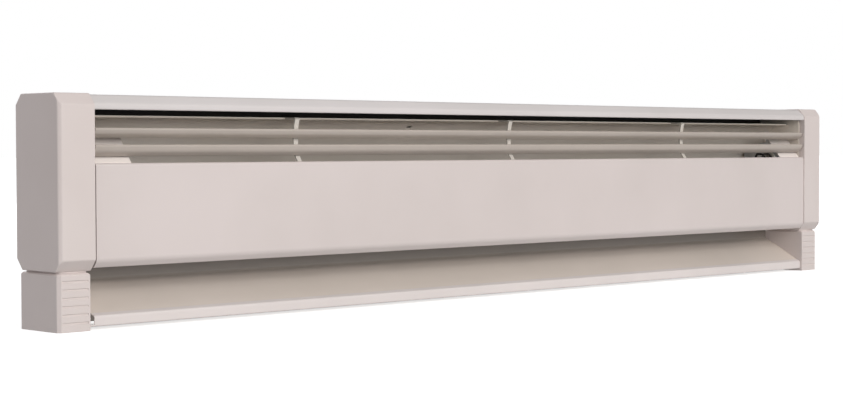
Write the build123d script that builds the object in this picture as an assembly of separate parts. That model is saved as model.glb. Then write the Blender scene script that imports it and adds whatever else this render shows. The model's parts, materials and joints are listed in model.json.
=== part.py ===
from build123d import *
import os

# Hydronic electric baseboard heater: a folded steel chassis with louvers, a finned sealed
# element, two wiring compartments, a hinged front panel and two moulded end caps with feet.
# Millimetres. +X along the length, -Y out into the room, +Y to the wall, +Z up.
# The origin is at the middle of the footprint, at the soles of the feet.

# Overall size
LENGTH = 1168.0
HEIGHT = 210.0
DEPTH = 70.0
HALF_DEPTH = DEPTH / 2

# Sheet steel
SHEET = 1.0
SHEET_INSIDE_Y = HALF_DEPTH - SHEET
RIVET_RADIUS = 2.0
RIVET_CLEARANCE = 0.05
RIVET_HEAD_RADIUS = 3.2
RIVET_HEAD = 1.0

# End caps
CAP_WIDTH = 37.0
CAP_WALL = 2.4
CAP_CORNER_Y = 8.5
CAP_CORNER_Z = 10.0
CAP_EDGE = 3.0
CAP_WEB = 1.2
CAP_OPENING_Y = 24.0
CAP_OPENING_Z = (150.0, 200.0)
CAP_OPENING_CORNER = 3.0
CAP_BLOCK_Z = 53.0
FOOT_TOP_Z = 51.5
FOOT_FRONT_INSET = 5.5
FOOT_REAR_INSET = 4.5
FOOT_SIDE_INSET = 1.5
FOOT_INNER_INSET = 2.5
FOOT_BEVEL = 1.5
FOOT_WALL = 2.6
FOOT_GROOVES = 6
FOOT_GROOVE_FIRST_Z = 7.6
FOOT_GROOVE_PITCH = 7.35
FOOT_GROOVE_WIDTH = 1.8
FOOT_GROOVE_DEPTH = 0.9
FOOT_GROOVE_BORDER = 2.0
CAP_INNER_X = LENGTH / 2 - CAP_WIDTH
CAP_GAP = 0.3

# Long sheets between the end caps; the front panel hangs a little to the right of the middle
RAIL_HALF = CAP_INNER_X - CAP_GAP
PANEL_X = (-CAP_INNER_X + 1.8, CAP_INNER_X - CAP_GAP)
PLATE_OUTER_X = CAP_INNER_X - 1.0
SHEETS_HALF = PLATE_OUTER_X - SHEET

# Spring clips on the end plates
CLIP_Y = (-14.0, 14.0)
CLIP_Z = 178.0

# Top rail
RAIL_TOP_Z = 209.0
RAIL_FRONT_Y = -34.0
RAIL_SLOPE_Y = -25.0
RAIL_SLOPE_Z = 201.0
RAIL_EDGE_Z = 195.5
RAIL_HEM = 4.0
RAIL_FLANGE_Z = 188.0

# Back panel
BACK_BOTTOM_Z = 1.5
BACK_TOP_Z = 208.4
WALL_SCREW_X = 406.4
WALL_SCREW_Z = 138.0
WALL_SCREW_RADIUS = 3.0
KNOCKOUT_X = 527.0
KNOCKOUT_Z = 84.0
KNOCKOUT_RADIUS = 11.1

# Front panel, which hangs by its rolled top hem
HINGE_Y = -31.0
HINGE_Z = 145.5
HEM_RADIUS = 2.5
HEM_LEG = 1.5
PANEL_FRONT_Y = HINGE_Y - HEM_RADIUS
PANEL_BOTTOM_Z = 55.5
PANEL_CURL_RADIUS = 6.5
PANEL_EDGE_RADIUS = 1.4
PANEL_CURL_Y = -25.2
PANEL_CURL_TOP_Z = 62.0
HOOK_RADIUS = 1.2

# Air deflector
DEFLECTOR_Y = -4.0
DEFLECTOR_Z = 152.0
DEFLECTOR_RADIUS = 38.0
DEFLECTOR_LIP_Y = -7.5
DEFLECTOR_LIP_HEIGHT = 1.0
DEFLECTOR_FOOT_Z = 140.0
SLOT_X = -115.0
SLOT_ANGLE = 57.0
SLOT_WIDTH = 7.0
SLOT_LENGTH = 5.0

# Louver blades
BLADE_CORNER_Y = -33.7
BLADE_REAR_Y = -22.7
BLADE_BEND_Y = -31.5
BLADE_BEND_SHARE = 0.57
BLADE_BEND_RADIUS = 9.0
BLADE_FOOT_Y = -26.0
BLADE_LIP_RADIUS = 1.8
UPPER_BLADE_Z = (179.5, 170.7)
LOWER_BLADE_Z = (164.5, 154.0)

# Support brackets behind the louvers
BAY = 304.8
BRACKET_THICK = 2.0
BRACKET_BOTTOM_Z = 66.0
BRACKET_FRONT_Y = -26.0
BRACKET_TOP_Z = 147.0
BRACKET_FLANGE = 14.0
BRACKET_FLANGE_TOP_Z = 128.0
HOOK_ARM_Z = (139.4, 142.2)
HOOK_NOSE = 0.4
RIB_DEPTH = 1.6
RIB_WIDTH = 5.5
RIB_FRONT = ((-27.5, 149.0), (-23.6, 155.0), (-22.0, 164.0), (-22.0, 178.0), (-24.5, 189.2))
TAB_THICK = 0.8
TAB_LENGTH = 8.0
TAB_DROP = 7.0
TAB_Y = (-29.0, -20.5)
TAB_LEG_Y = (-21.8, -20.5)

# Element
ELEMENT_Y = 1.0
ELEMENT_Z = 98.0
TUBE_RADIUS = 14.3
TUBE_WALL = 1.2
TUBE_HALF = 512.0
ROD_RADIUS = 4.0
ROD_HALF = 537.0
SLIP = 0.05
FIN_DEPTH = 50.0
FIN_HEIGHT = 60.0
FIN_THICK = 0.6
FIN_PITCH = 8.0
FIN_SLEEVE_WALL = 0.8
FIN_TOP_Z = ELEMENT_Z + FIN_HEIGHT / 2
GLIDE_RADIUS = 18.0
GLIDE_RIM_RADIUS = 21.0
GLIDE_RIM = 3.0

# Wiring compartments
COVER_INNER_X = 503.0
COVER_FRONT_Y = -27.0
COVER_BOTTOM_Z = 64.0
COVER_SHOULDER_Z = 148.5
COVER_TOP_Y = -3.3
COVER_TOP_Z = 179.0
COVER_TOP_FLANGE = 10.0
COVER_FOOT = 9.0
PARTITION_X = 504.5
PARTITION_REAR = ((28.0, 160.0), (31.5, DEFLECTOR_FOOT_Z - 1.0))
PARTITION_FLANGE = 12.0
PARTITION_FLANGE_Z = (98.0, 132.0)
END_PLATE_SIDE = ((-24.0, 207.0), (33.0, 207.0), (33.0, 64.0), (-25.0, 64.0))
END_PLATE_FRONT = ((-25.0, 139.0), (-27.5, 141.5), (-27.5, 190.0))
COVER_SCREW_X = 524.0
COVER_SCREW_Z = 80.0
GROUND_X = 536.0
GROUND_Z = 118.0
BUSHING_Y = -10.0
BUSHING_Z = 144.6
BUSHING_RADIUS = 8.6

# Wiring
WIRE_RADIUS = 1.4
WIRE_SLACK = 0.8
RETURN_Y = 29.0
RETURN_Z = 74.0
CAPILLARY_RADIUS = 1.5
CAPILLARY_Y = -10.0
CAPILLARY_Z = 136.0
GROMMET_RADIUS = 4.0
SWITCH_X = (438.0, 472.0)
SWITCH_Y = (-18.0, -2.0)
SWITCH_Z = (FIN_TOP_Z + 3.0, FIN_TOP_Z + 17.0)
LEAD_Y = (-15.0, -5.0)
LEAD_END_X = SWITCH_X[1] + 45.0
LEAD_END_Z = 126.0

# Inlet tray
TRAY_LIP_Y = -27.0
TRAY_BOTTOM_Z = 3.0
TRAY_LIP_Z = 12.5
TRAY_REAR_Y = 27.0
TRAY_REAR_Z = 41.0
TRAY_FLANGE_Z = 58.0
TRAY_FLANGE_HEIGHT = 14.0
TRAY_FOOT = 12.0
TRAY_LIP_DEPTH = 5.0
TRAY_MIDDLE = (0.0, 27.5)
TRAY_HALF = CAP_INNER_X + FOOT_INNER_INSET - CAP_GAP
TRAY_LIP_GAP = 5.5

# Rivet heights: through the long sheets, the bracket flanges and the partition flanges
SHEET_RIVET_Z = (201.5, DEFLECTOR_FOOT_Z + 3.5, TRAY_FLANGE_Z + 8.0)
BRACKET_RIVET_Z = (82.0, 118.0)
PARTITION_RIVET_Z = (105.0, 126.0)
FLANGE_RIVET_X = 8.0


def folded_sheet(points, radii, low_x, high_x, side=Side.RIGHT, thickness=SHEET):
    """A sheet bent along a line in the YZ plane, running from low_x to high_x."""
    with BuildSketch(Plane.YZ) as profile:
        with BuildLine():
            FilletPolyline(*points, radius=radii)
            offset(amount=thickness, side=side)
        make_face()
    return Pos(low_x, 0, 0) * extrude(profile.sketch, amount=high_x - low_x, dir=(1, 0, 0))


def plate(points, low_x, high_x):
    """A flat plate parallel to the YZ plane."""
    face = Plane.YZ * Polygon(*points, align=None)
    return Pos(low_x, 0, 0) * extrude(face, amount=high_x - low_x, dir=(1, 0, 0))


def block(x_span, y_span, z_span):
    """A rectangular solid from its low and high corners."""
    size = Box(
        x_span[1] - x_span[0],
        y_span[1] - y_span[0],
        z_span[1] - z_span[0],
        align=(Align.MIN, Align.MIN, Align.MIN),
    )
    return Pos(x_span[0], y_span[0], z_span[0]) * size


def rod_x(radius, low_x, high_x, y, z):
    """A round bar along X."""
    bar = Cylinder(radius, high_x - low_x, align=(Align.CENTER, Align.CENTER, Align.MIN))
    return Pos(low_x, y, z) * Rot(0, 90, 0) * bar


def rod_y(radius, low_y, high_y, x, z):
    """A round bar along Y."""
    bar = Cylinder(radius, high_y - low_y, align=(Align.CENTER, Align.CENTER, Align.MIN))
    return Pos(x, low_y, z) * Rot(-90, 0, 0) * bar


def wire(points, radius, bends):
    """A round wire along straight runs joined by tangent arcs."""
    path = FilletPolyline(*points, radius=bends)
    start = Plane(origin=path @ 0, z_dir=path % 0)
    return sweep(start * Circle(radius), path=path)


def mirrored(part):
    """The left-hand copy of a right-hand piece."""
    return part.mirror(Plane.YZ)


def save(name, *solids):
    """Write one sub-part, as one solid or as a group of separate solids."""
    shape = solids[0] if len(solids) == 1 else Compound(children=list(solids))
    export_step(shape, os.path.join("parts", name + ".step"))


def rivet_places():
    """Where rivets join the sheets to the back panel, as (x, z, inner face y)."""
    places = []
    for x in (-BAY * 1.5, -BAY / 2, BAY / 2, BAY * 1.5):
        for z in SHEET_RIVET_Z:
            places.append((x, z, SHEET_INSIDE_Y - SHEET))
    for x in (-BAY, 0.0, BAY):
        for z in BRACKET_RIVET_Z:
            places.append((x + FLANGE_RIVET_X, z, SHEET_INSIDE_Y - SHEET))
    for side in (-1, 1):
        for z in PARTITION_RIVET_Z:
            places.append((side * (PARTITION_X + FLANGE_RIVET_X), z, SHEET_INSIDE_Y - SHEET))
    return places


def rivet(x, z, inner_y):
    """A rivet with its head inside the casing."""
    shank = rod_y(RIVET_RADIUS, inner_y, HALF_DEPTH, x, z)
    return shank + rod_y(RIVET_HEAD_RADIUS, inner_y - RIVET_HEAD, inner_y, x, z)


def drill_rivets(part):
    """Holes for the rivets that pass through a sheet."""
    for x, z, inner_y in rivet_places():
        part = part - rod_y(RIVET_RADIUS + RIVET_CLEARANCE, inner_y - 1, HALF_DEPTH + 1, x, z)
    return part


def back_panel():
    wall_side = block((-SHEETS_HALF, SHEETS_HALF), (SHEET_INSIDE_Y, HALF_DEPTH), (BACK_BOTTOM_Z, BACK_TOP_Z))
    for side in (-1, 1):
        wall_side -= rod_y(WALL_SCREW_RADIUS, 0, 40, side * WALL_SCREW_X, WALL_SCREW_Z)
        wall_side -= rod_y(KNOCKOUT_RADIUS, 0, 40, side * KNOCKOUT_X, KNOCKOUT_Z)
        wall_side -= rod_y(RIVET_RADIUS + RIVET_CLEARANCE, 0, 40, side * GROUND_X, GROUND_Z)
    return drill_rivets(wall_side)


def top_rail():
    outline = [
        (SHEET_INSIDE_Y, RAIL_FLANGE_Z),
        (SHEET_INSIDE_Y, RAIL_TOP_Z),
        (RAIL_SLOPE_Y, RAIL_TOP_Z),
        (RAIL_FRONT_Y, RAIL_SLOPE_Z),
        (RAIL_FRONT_Y, RAIL_EDGE_Z),
        (RAIL_FRONT_Y + RAIL_HEM, RAIL_EDGE_Z),
    ]
    rail = folded_sheet(outline, [1.5, 6.0, 4.0, 1.2], -RAIL_HALF, RAIL_HALF, Side.LEFT)
    return drill_rivets(rail)


def air_deflector():
    with BuildSketch(Plane.YZ) as profile:
        with BuildLine():
            rear_y = DEFLECTOR_Y + DEFLECTOR_RADIUS
            top_z = DEFLECTOR_Z + DEFLECTOR_RADIUS
            Polyline((rear_y, DEFLECTOR_FOOT_Z), (rear_y, DEFLECTOR_Z))
            CenterArc((DEFLECTOR_Y, DEFLECTOR_Z), DEFLECTOR_RADIUS, 0, 90)
            lip_z = top_z + DEFLECTOR_LIP_HEIGHT
            Polyline((DEFLECTOR_Y, top_z), (DEFLECTOR_LIP_Y, top_z), (DEFLECTOR_LIP_Y, lip_z))
            offset(amount=SHEET, side=Side.LEFT)
        make_face()
    sheet = Pos(-SHEETS_HALF, 0, 0) * extrude(profile.sketch, amount=2 * SHEETS_HALF, dir=(1, 0, 0))
    slot = Pos(0, DEFLECTOR_RADIUS, 0) * Box(SLOT_WIDTH, 4 * SHEET, SLOT_LENGTH)
    sheet -= Pos(SLOT_X, DEFLECTOR_Y, DEFLECTOR_Z) * Rot(SLOT_ANGLE, 0, 0) * slot
    return drill_rivets(sheet)


def inlet_tray():
    """Tray between the feet. Its flange clears the caps, and its lip stops short of the left foot."""
    outline = [
        (TRAY_LIP_Y + TRAY_FOOT, TRAY_BOTTOM_Z),
        (TRAY_LIP_Y, TRAY_BOTTOM_Z),
        (TRAY_LIP_Y, TRAY_LIP_Z),
        (TRAY_LIP_Y + TRAY_LIP_DEPTH, TRAY_LIP_Z),
        TRAY_MIDDLE,
        (TRAY_REAR_Y, TRAY_REAR_Z),
        (TRAY_REAR_Y, TRAY_FLANGE_Z),
        (SHEET_INSIDE_Y - SHEET, TRAY_FLANGE_Z),
        (SHEET_INSIDE_Y - SHEET, TRAY_FLANGE_Z + TRAY_FLANGE_HEIGHT),
    ]
    radii = [1.5, 2.0, 2.6, 30.0, 3.0, 1.6, 1.6]
    tray = folded_sheet(outline, radii, -TRAY_HALF, TRAY_HALF, Side.RIGHT)
    for end_x in ((-TRAY_HALF - 1.0, -RAIL_HALF), (RAIL_HALF, TRAY_HALF + 1.0)):
        tray -= block(end_x, (0.0, HALF_DEPTH), (CAP_BLOCK_Z - 1.0, BRACKET_RIVET_Z[0]))
    gap_x = (-TRAY_HALF - 1.0, -TRAY_HALF + TRAY_LIP_GAP)
    gap_y = (-HALF_DEPTH, TRAY_LIP_Y + TRAY_LIP_DEPTH + 2.0)
    tray -= block(gap_x, gap_y, (TRAY_BOTTOM_Z + 2.0, TRAY_LIP_Z + 5.0))
    return drill_rivets(tray)


def louver_blade(lip_z, foot_z):
    """A louver: a level flange, a round lip and a face that curls under."""
    outline = [
        (BLADE_REAR_Y, lip_z),
        (BLADE_CORNER_Y, lip_z),
        (BLADE_BEND_Y, lip_z - BLADE_BEND_SHARE * (lip_z - foot_z)),
        (BLADE_FOOT_Y, foot_z),
    ]
    radii = [BLADE_LIP_RADIUS, BLADE_BEND_RADIUS]
    return folded_sheet(outline, radii, -SHEETS_HALF, SHEETS_HALF, Side.LEFT)


def bracket_web(x):
    """The plate below the louvers, with the hook for the front panel."""
    inside_y = SHEET_INSIDE_Y
    hook_front_y = HINGE_Y - HOOK_RADIUS
    hook_tip = (HINGE_Y + HOOK_NOSE, HINGE_Z + (HOOK_RADIUS**2 - HOOK_NOSE**2) ** 0.5)
    rib_foot_y = RIB_FRONT[0][0]
    deflector_inside_y = DEFLECTOR_Y + DEFLECTOR_RADIUS - SHEET - 0.3
    with BuildSketch(Plane.YZ) as profile:
        with BuildLine():
            Polyline(
                (deflector_inside_y, DEFLECTOR_FOOT_Z - 0.5),
                (inside_y, DEFLECTOR_FOOT_Z - 0.5),
                (inside_y, BRACKET_BOTTOM_Z),
                (BRACKET_FRONT_Y, BRACKET_BOTTOM_Z),
                (BRACKET_FRONT_Y, HOOK_ARM_Z[0]),
                (hook_front_y, HOOK_ARM_Z[0]),
                (hook_front_y, HINGE_Z),
            )
            ThreePointArc((hook_front_y, HINGE_Z), (HINGE_Y, HINGE_Z + HOOK_RADIUS), hook_tip)
            Polyline(
                hook_tip,
                (hook_tip[0], HOOK_ARM_Z[1]),
                (rib_foot_y, HOOK_ARM_Z[1]),
                (rib_foot_y, BRACKET_TOP_Z),
                (deflector_inside_y, BRACKET_TOP_Z),
                (deflector_inside_y, DEFLECTOR_FOOT_Z - 0.5),
            )
        make_face()
    return Pos(x - BRACKET_THICK / 2, 0, 0) * extrude(profile.sketch, amount=BRACKET_THICK, dir=(1, 0, 0))


def bracket_rib(x):
    """The bowed strip that rises behind the louvers and folds back to the deflector's hem."""
    foot_y = RIB_FRONT[0][0]
    head_y, head_z = RIB_FRONT[-1]
    hem_y = DEFLECTOR_LIP_Y - SHEET
    rear = [(y + RIB_DEPTH, z) for y, z in reversed(RIB_FRONT)]
    with BuildSketch(Plane.YZ) as profile:
        with BuildLine():
            Line((foot_y, HOOK_ARM_Z[1]), RIB_FRONT[0])
            Spline(*RIB_FRONT)
            Polyline(
                RIB_FRONT[-1],
                (head_y + RIB_DEPTH, head_z + RIB_DEPTH),
                (hem_y, head_z + RIB_DEPTH),
                (hem_y, head_z),
                rear[0],
            )
            Spline(*rear)
            Polyline(rear[-1], (foot_y + RIB_DEPTH, HOOK_ARM_Z[1]), (foot_y, HOOK_ARM_Z[1]))
        make_face()
    return Pos(x - RIB_WIDTH / 2, 0, 0) * extrude(profile.sketch, amount=RIB_WIDTH, dir=(1, 0, 0))


def support_bracket(x):
    """A bracket that carries the louvers, the element and the front panel."""
    inside_y = SHEET_INSIDE_Y
    cut_x = (x - BRACKET_THICK, x + BRACKET_THICK)
    flange_low_z = TRAY_FLANGE_Z + TRAY_FLANGE_HEIGHT + SHEET
    flange_x = (x + BRACKET_THICK / 2, x + BRACKET_FLANGE)
    bracket = bracket_web(x) + bracket_rib(x)
    bracket -= block(cut_x, (inside_y - SHEET - 0.2, HALF_DEPTH), (TRAY_FLANGE_Z, flange_low_z - 0.5))
    bracket += block(flange_x, (inside_y - SHEET, inside_y), (flange_low_z, BRACKET_FLANGE_TOP_Z))
    bracket -= rod_x(GLIDE_RADIUS + SLIP, *cut_x, ELEMENT_Y, ELEMENT_Z)
    bracket -= rod_x(GROMMET_RADIUS + SLIP, *cut_x, CAPILLARY_Y, CAPILLARY_Z)
    bracket -= rod_x(WIRE_RADIUS + WIRE_SLACK, *cut_x, RETURN_Y, RETURN_Z)
    return drill_rivets(bracket)


def louver_tabs():
    """Welded angles that tie each blade to each bracket."""
    tabs = []
    for x in (-BAY, 0.0, BAY):
        side_x = x + RIB_WIDTH / 2
        for lip_z, foot_z in (UPPER_BLADE_Z, LOWER_BLADE_Z):
            under_z = lip_z - SHEET
            top = block((side_x, side_x + TAB_LENGTH), TAB_Y, (under_z - TAB_THICK, under_z))
            leg = block((side_x, side_x + TAB_THICK), TAB_LEG_Y, (under_z - TAB_DROP, under_z))
            tabs.append(top + leg)
    return tabs


def partition():
    """Right-hand steel wall and floor between the finned element and the wiring compartment."""
    front_y = COVER_FRONT_Y + SHEET
    rear_y = SHEET_INSIDE_Y - 2 * SHEET
    floor_z = COVER_BOTTOM_Z + SHEET
    behind_cover_y = COVER_TOP_Y - SHEET - 0.4
    flange_foot_z = TRAY_FLANGE_Z + TRAY_FLANGE_HEIGHT + SHEET
    corner = 0.6
    outline = [
        (front_y + corner, floor_z),
        (front_y, floor_z + corner),
        (front_y, COVER_SHOULDER_Z - 3.0),
        (front_y + 2.0, COVER_SHOULDER_Z + 1.7),
        (behind_cover_y, COVER_TOP_Z - 3.9),
        (behind_cover_y, COVER_TOP_Z - COVER_TOP_FLANGE - 1.0),
        *PARTITION_REAR,
        (SHEET_INSIDE_Y, DEFLECTOR_FOOT_Z - 1.0),
        (SHEET_INSIDE_Y, flange_foot_z),
        (rear_y, flange_foot_z),
        (rear_y, floor_z),
    ]
    wall = plate(outline, PARTITION_X, PARTITION_X + SHEET)
    floor = block((PARTITION_X, SHEETS_HALF), (front_y + corner, rear_y), (floor_z, floor_z + SHEET))
    flange_y = (SHEET_INSIDE_Y - SHEET, SHEET_INSIDE_Y)
    flange = block((PARTITION_X, PARTITION_X + PARTITION_FLANGE), flange_y, PARTITION_FLANGE_Z)
    cut_x = (PARTITION_X - SHEET, PARTITION_X + 2 * SHEET)
    box = wall + floor + flange
    box -= rod_x(TUBE_RADIUS + 0.3, *cut_x, ELEMENT_Y, ELEMENT_Z)
    box -= rod_x(BUSHING_RADIUS + SLIP, *cut_x, BUSHING_Y, BUSHING_Z)
    box -= rod_x(WIRE_RADIUS + WIRE_SLACK, *cut_x, RETURN_Y, RETURN_Z)
    return drill_rivets(box)


def wiring_cover():
    """Right-hand sloped cover over the wiring compartment."""
    outline = [
        (COVER_FRONT_Y + COVER_FOOT, COVER_BOTTOM_Z),
        (COVER_FRONT_Y, COVER_BOTTOM_Z),
        (COVER_FRONT_Y, COVER_SHOULDER_Z),
        (COVER_TOP_Y, COVER_TOP_Z),
        (COVER_TOP_Y, COVER_TOP_Z - COVER_TOP_FLANGE),
    ]
    cover = folded_sheet(outline, [1.4, 2.0, 1.4], COVER_INNER_X, SHEETS_HALF, Side.RIGHT)
    cut_y = (COVER_FRONT_Y - SHEET, COVER_FRONT_Y + 2 * SHEET)
    return cover - rod_y(RIVET_RADIUS + RIVET_CLEARANCE, *cut_y, COVER_SCREW_X, COVER_SCREW_Z)


def cover_screw():
    """Right-hand screw that holds the wiring cover."""
    head = rod_y(4.0, COVER_FRONT_Y - 2.0, COVER_FRONT_Y, COVER_SCREW_X, COVER_SCREW_Z)
    shank = rod_y(RIVET_RADIUS, COVER_FRONT_Y, COVER_FRONT_Y + 9.0, COVER_SCREW_X, COVER_SCREW_Z)
    slot_z = (COVER_SCREW_Z - 0.5, COVER_SCREW_Z + 0.5)
    slot = block((COVER_SCREW_X - 5, COVER_SCREW_X + 5), (COVER_FRONT_Y - 3, COVER_FRONT_Y - 1.2), slot_z)
    return head + shank - slot


def ground_screw():
    """Right-hand earthing screw in the back panel."""
    head = rod_y(4.0, SHEET_INSIDE_Y - 2.2, SHEET_INSIDE_Y, GROUND_X, GROUND_Z)
    shank = rod_y(RIVET_RADIUS, SHEET_INSIDE_Y, HALF_DEPTH, GROUND_X, GROUND_Z)
    slot_z = (GROUND_Z - 0.5, GROUND_Z + 0.5)
    slot = block((GROUND_X - 5, GROUND_X + 5), (SHEET_INSIDE_Y - 3, SHEET_INSIDE_Y - 1.2), slot_z)
    return head + shank - slot


def end_plate():
    """Right-hand steel plate that closes the chassis and carries the end cap."""
    return plate([*END_PLATE_SIDE, *END_PLATE_FRONT], SHEETS_HALF, PLATE_OUTER_X)


def cap_clip(y, z):
    """Right-hand spring clip on the end plate, which the end cap snaps over."""
    base = block((PLATE_OUTER_X, PLATE_OUTER_X + 0.8), (y - 6, y + 6), (z - 10, z + 10))
    leg = block((PLATE_OUTER_X, PLATE_OUTER_X + 16.0), (y - 4, y + 4), (z + 9.2, z + 10))
    return base + leg


def element_tube():
    outer = rod_x(TUBE_RADIUS, -TUBE_HALF, TUBE_HALF, ELEMENT_Y, ELEMENT_Z)
    bore = rod_x(TUBE_RADIUS - TUBE_WALL, -TUBE_HALF - 1, TUBE_HALF + 1, ELEMENT_Y, ELEMENT_Z)
    return outer - bore


def end_fitting():
    """Right-hand brass plug that seals the tube round the heating rod."""
    plug = rod_x(TUBE_RADIUS - TUBE_WALL - SLIP, TUBE_HALF - 12, TUBE_HALF, ELEMENT_Y, ELEMENT_Z)
    head = rod_x(TUBE_RADIUS + 1.5, TUBE_HALF, TUBE_HALF + 5, ELEMENT_Y, ELEMENT_Z)
    hexagon = extrude(Plane.YZ * RegularPolygon(9.0, 6), amount=7.0)
    nose = Pos(TUBE_HALF + 5, ELEMENT_Y, ELEMENT_Z) * hexagon
    bore = rod_x(ROD_RADIUS + SLIP, TUBE_HALF - 20, TUBE_HALF + 20, ELEMENT_Y, ELEMENT_Z)
    return plug + head + nose - bore


def terminal_insulator():
    """Right-hand ceramic bush round the end of the heating rod."""
    low_x = TUBE_HALF + 12
    bush = rod_x(6.5, low_x, low_x + 5, ELEMENT_Y, ELEMENT_Z)
    return bush - rod_x(ROD_RADIUS + SLIP, low_x - 1, low_x + 6, ELEMENT_Y, ELEMENT_Z)


def terminal_nut():
    """Right-hand nut that clamps the lead on the heating rod."""
    low_x = TUBE_HALF + 17
    hexagon = extrude(Plane.YZ * RegularPolygon(6.5, 6), amount=4.0)
    nut = Pos(low_x, ELEMENT_Y, ELEMENT_Z) * hexagon
    return nut - rod_x(ROD_RADIUS + SLIP, low_x - 1, low_x + 6, ELEMENT_Y, ELEMENT_Z)


def fin_section(low_x, high_x):
    """Aluminium fins on one sleeve, between two supports."""
    sleeve = rod_x(TUBE_RADIUS + SLIP + FIN_SLEEVE_WALL, low_x, high_x, ELEMENT_Y, ELEMENT_Z)
    count = int((high_x - low_x - FIN_THICK) // FIN_PITCH) + 1
    start_x = (low_x + high_x - (count - 1) * FIN_PITCH) / 2
    fins = []
    for index in range(count):
        fin = Pos(start_x + index * FIN_PITCH, ELEMENT_Y, ELEMENT_Z) * Box(FIN_THICK, FIN_DEPTH, FIN_HEIGHT)
        fins.append(fin)
    section = sleeve.fuse(*fins)
    return section - rod_x(TUBE_RADIUS + SLIP, low_x - 1, high_x + 1, ELEMENT_Y, ELEMENT_Z)


def element_glide(x):
    """Split nylon bush that lets the element slide in its bracket as it warms up."""
    half = BRACKET_THICK / 2
    ring = rod_x(GLIDE_RADIUS, x - half, x + half, ELEMENT_Y, ELEMENT_Z)
    for low_x in (x - half - GLIDE_RIM, x + half):
        ring += rod_x(GLIDE_RIM_RADIUS, low_x, low_x + GLIDE_RIM, ELEMENT_Y, ELEMENT_Z)
    ring -= rod_x(TUBE_RADIUS + SLIP, x - 10, x + 10, ELEMENT_Y, ELEMENT_Z)
    slit = block((x - 10, x + 10), (ELEMENT_Y - 1, ELEMENT_Y + 1), (ELEMENT_Z, ELEMENT_Z + 30))
    return ring - slit


def panel_bumper(x):
    """Nylon stop on the bracket, behind the front panel."""
    half = BRACKET_THICK / 2
    body = block((x - 5, x + 5), (PANEL_FRONT_Y + SHEET + 0.3, BRACKET_FRONT_Y + 5), (72.0, 82.0))
    return body - block((x - half, x + half), (BRACKET_FRONT_Y, 0), (70.0, 90.0))


def limit_switch():
    """High-limit thermal cut-out."""
    case = block(SWITCH_X, SWITCH_Y, SWITCH_Z)
    return chamfer(case.edges().filter_by(Axis.Z), 1.5)


def limit_switch_bracket():
    """Shelf with a rear lug that carries the cut-out above the fins."""
    span_x = (SWITCH_X[0] + 2.0, SWITCH_X[1] - 2.0)
    low_z = SWITCH_Z[0] - SHEET
    shelf = block(span_x, (SWITCH_Y[0], SHEET_INSIDE_Y), (low_z, SWITCH_Z[0]))
    lug = block(span_x, (SHEET_INSIDE_Y - SHEET, SHEET_INSIDE_Y), (low_z, DEFLECTOR_FOOT_Z - SHEET))
    return shelf + lug


def capillary_grommet(x):
    """Rubber ring that carries the sensing bulb through a bracket."""
    half = BRACKET_THICK / 2
    ring = rod_x(GROMMET_RADIUS, x - half, x + half, CAPILLARY_Y, CAPILLARY_Z)
    for low_x in (x - half - 1.5, x + half):
        ring += rod_x(5.0, low_x, low_x + 1.5, CAPILLARY_Y, CAPILLARY_Z)
    return ring - rod_x(CAPILLARY_RADIUS + SLIP, x - 10, x + 10, CAPILLARY_Y, CAPILLARY_Z)


def partition_bushing():
    """Right-hand snap bushing for the leads."""
    ring = rod_x(BUSHING_RADIUS, PARTITION_X, PARTITION_X + SHEET, BUSHING_Y, BUSHING_Z)
    for low_x in (PARTITION_X - 1.5, PARTITION_X + SHEET):
        ring += rod_x(BUSHING_RADIUS + 1.5, low_x, low_x + 1.5, BUSHING_Y, BUSHING_Z)
    return ring - rod_x(BUSHING_RADIUS - 1.2, PARTITION_X - 5, PARTITION_X + 5, BUSHING_Y, BUSHING_Z)


def limit_lead(y):
    """Lead that arches from the cut-out into the right-hand compartment."""
    route = [
        (SWITCH_X[1] + 0.1, y, 140.0),
        (SWITCH_X[1] + 8.0, y, 140.0),
        (SWITCH_X[1] + 11.0, y, 152.0),
        (SWITCH_X[1] + 24.0, y, 152.0),
        (SWITCH_X[1] + 40.0, y, 137.0),
        (LEAD_END_X, y, LEAD_END_Z),
    ]
    return wire(route, WIRE_RADIUS, [3.0, 4.5, 5.5, 7.0])


def wire_connector(x, y, top_z):
    """Twist-on connector that closes the end of a lead."""
    cone = Cone(4.6, 2.8, 11.0, align=(Align.CENTER, Align.CENTER, Align.MIN))
    return Pos(x, y, top_z) * Rot(180, 0, 0) * cone


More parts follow.
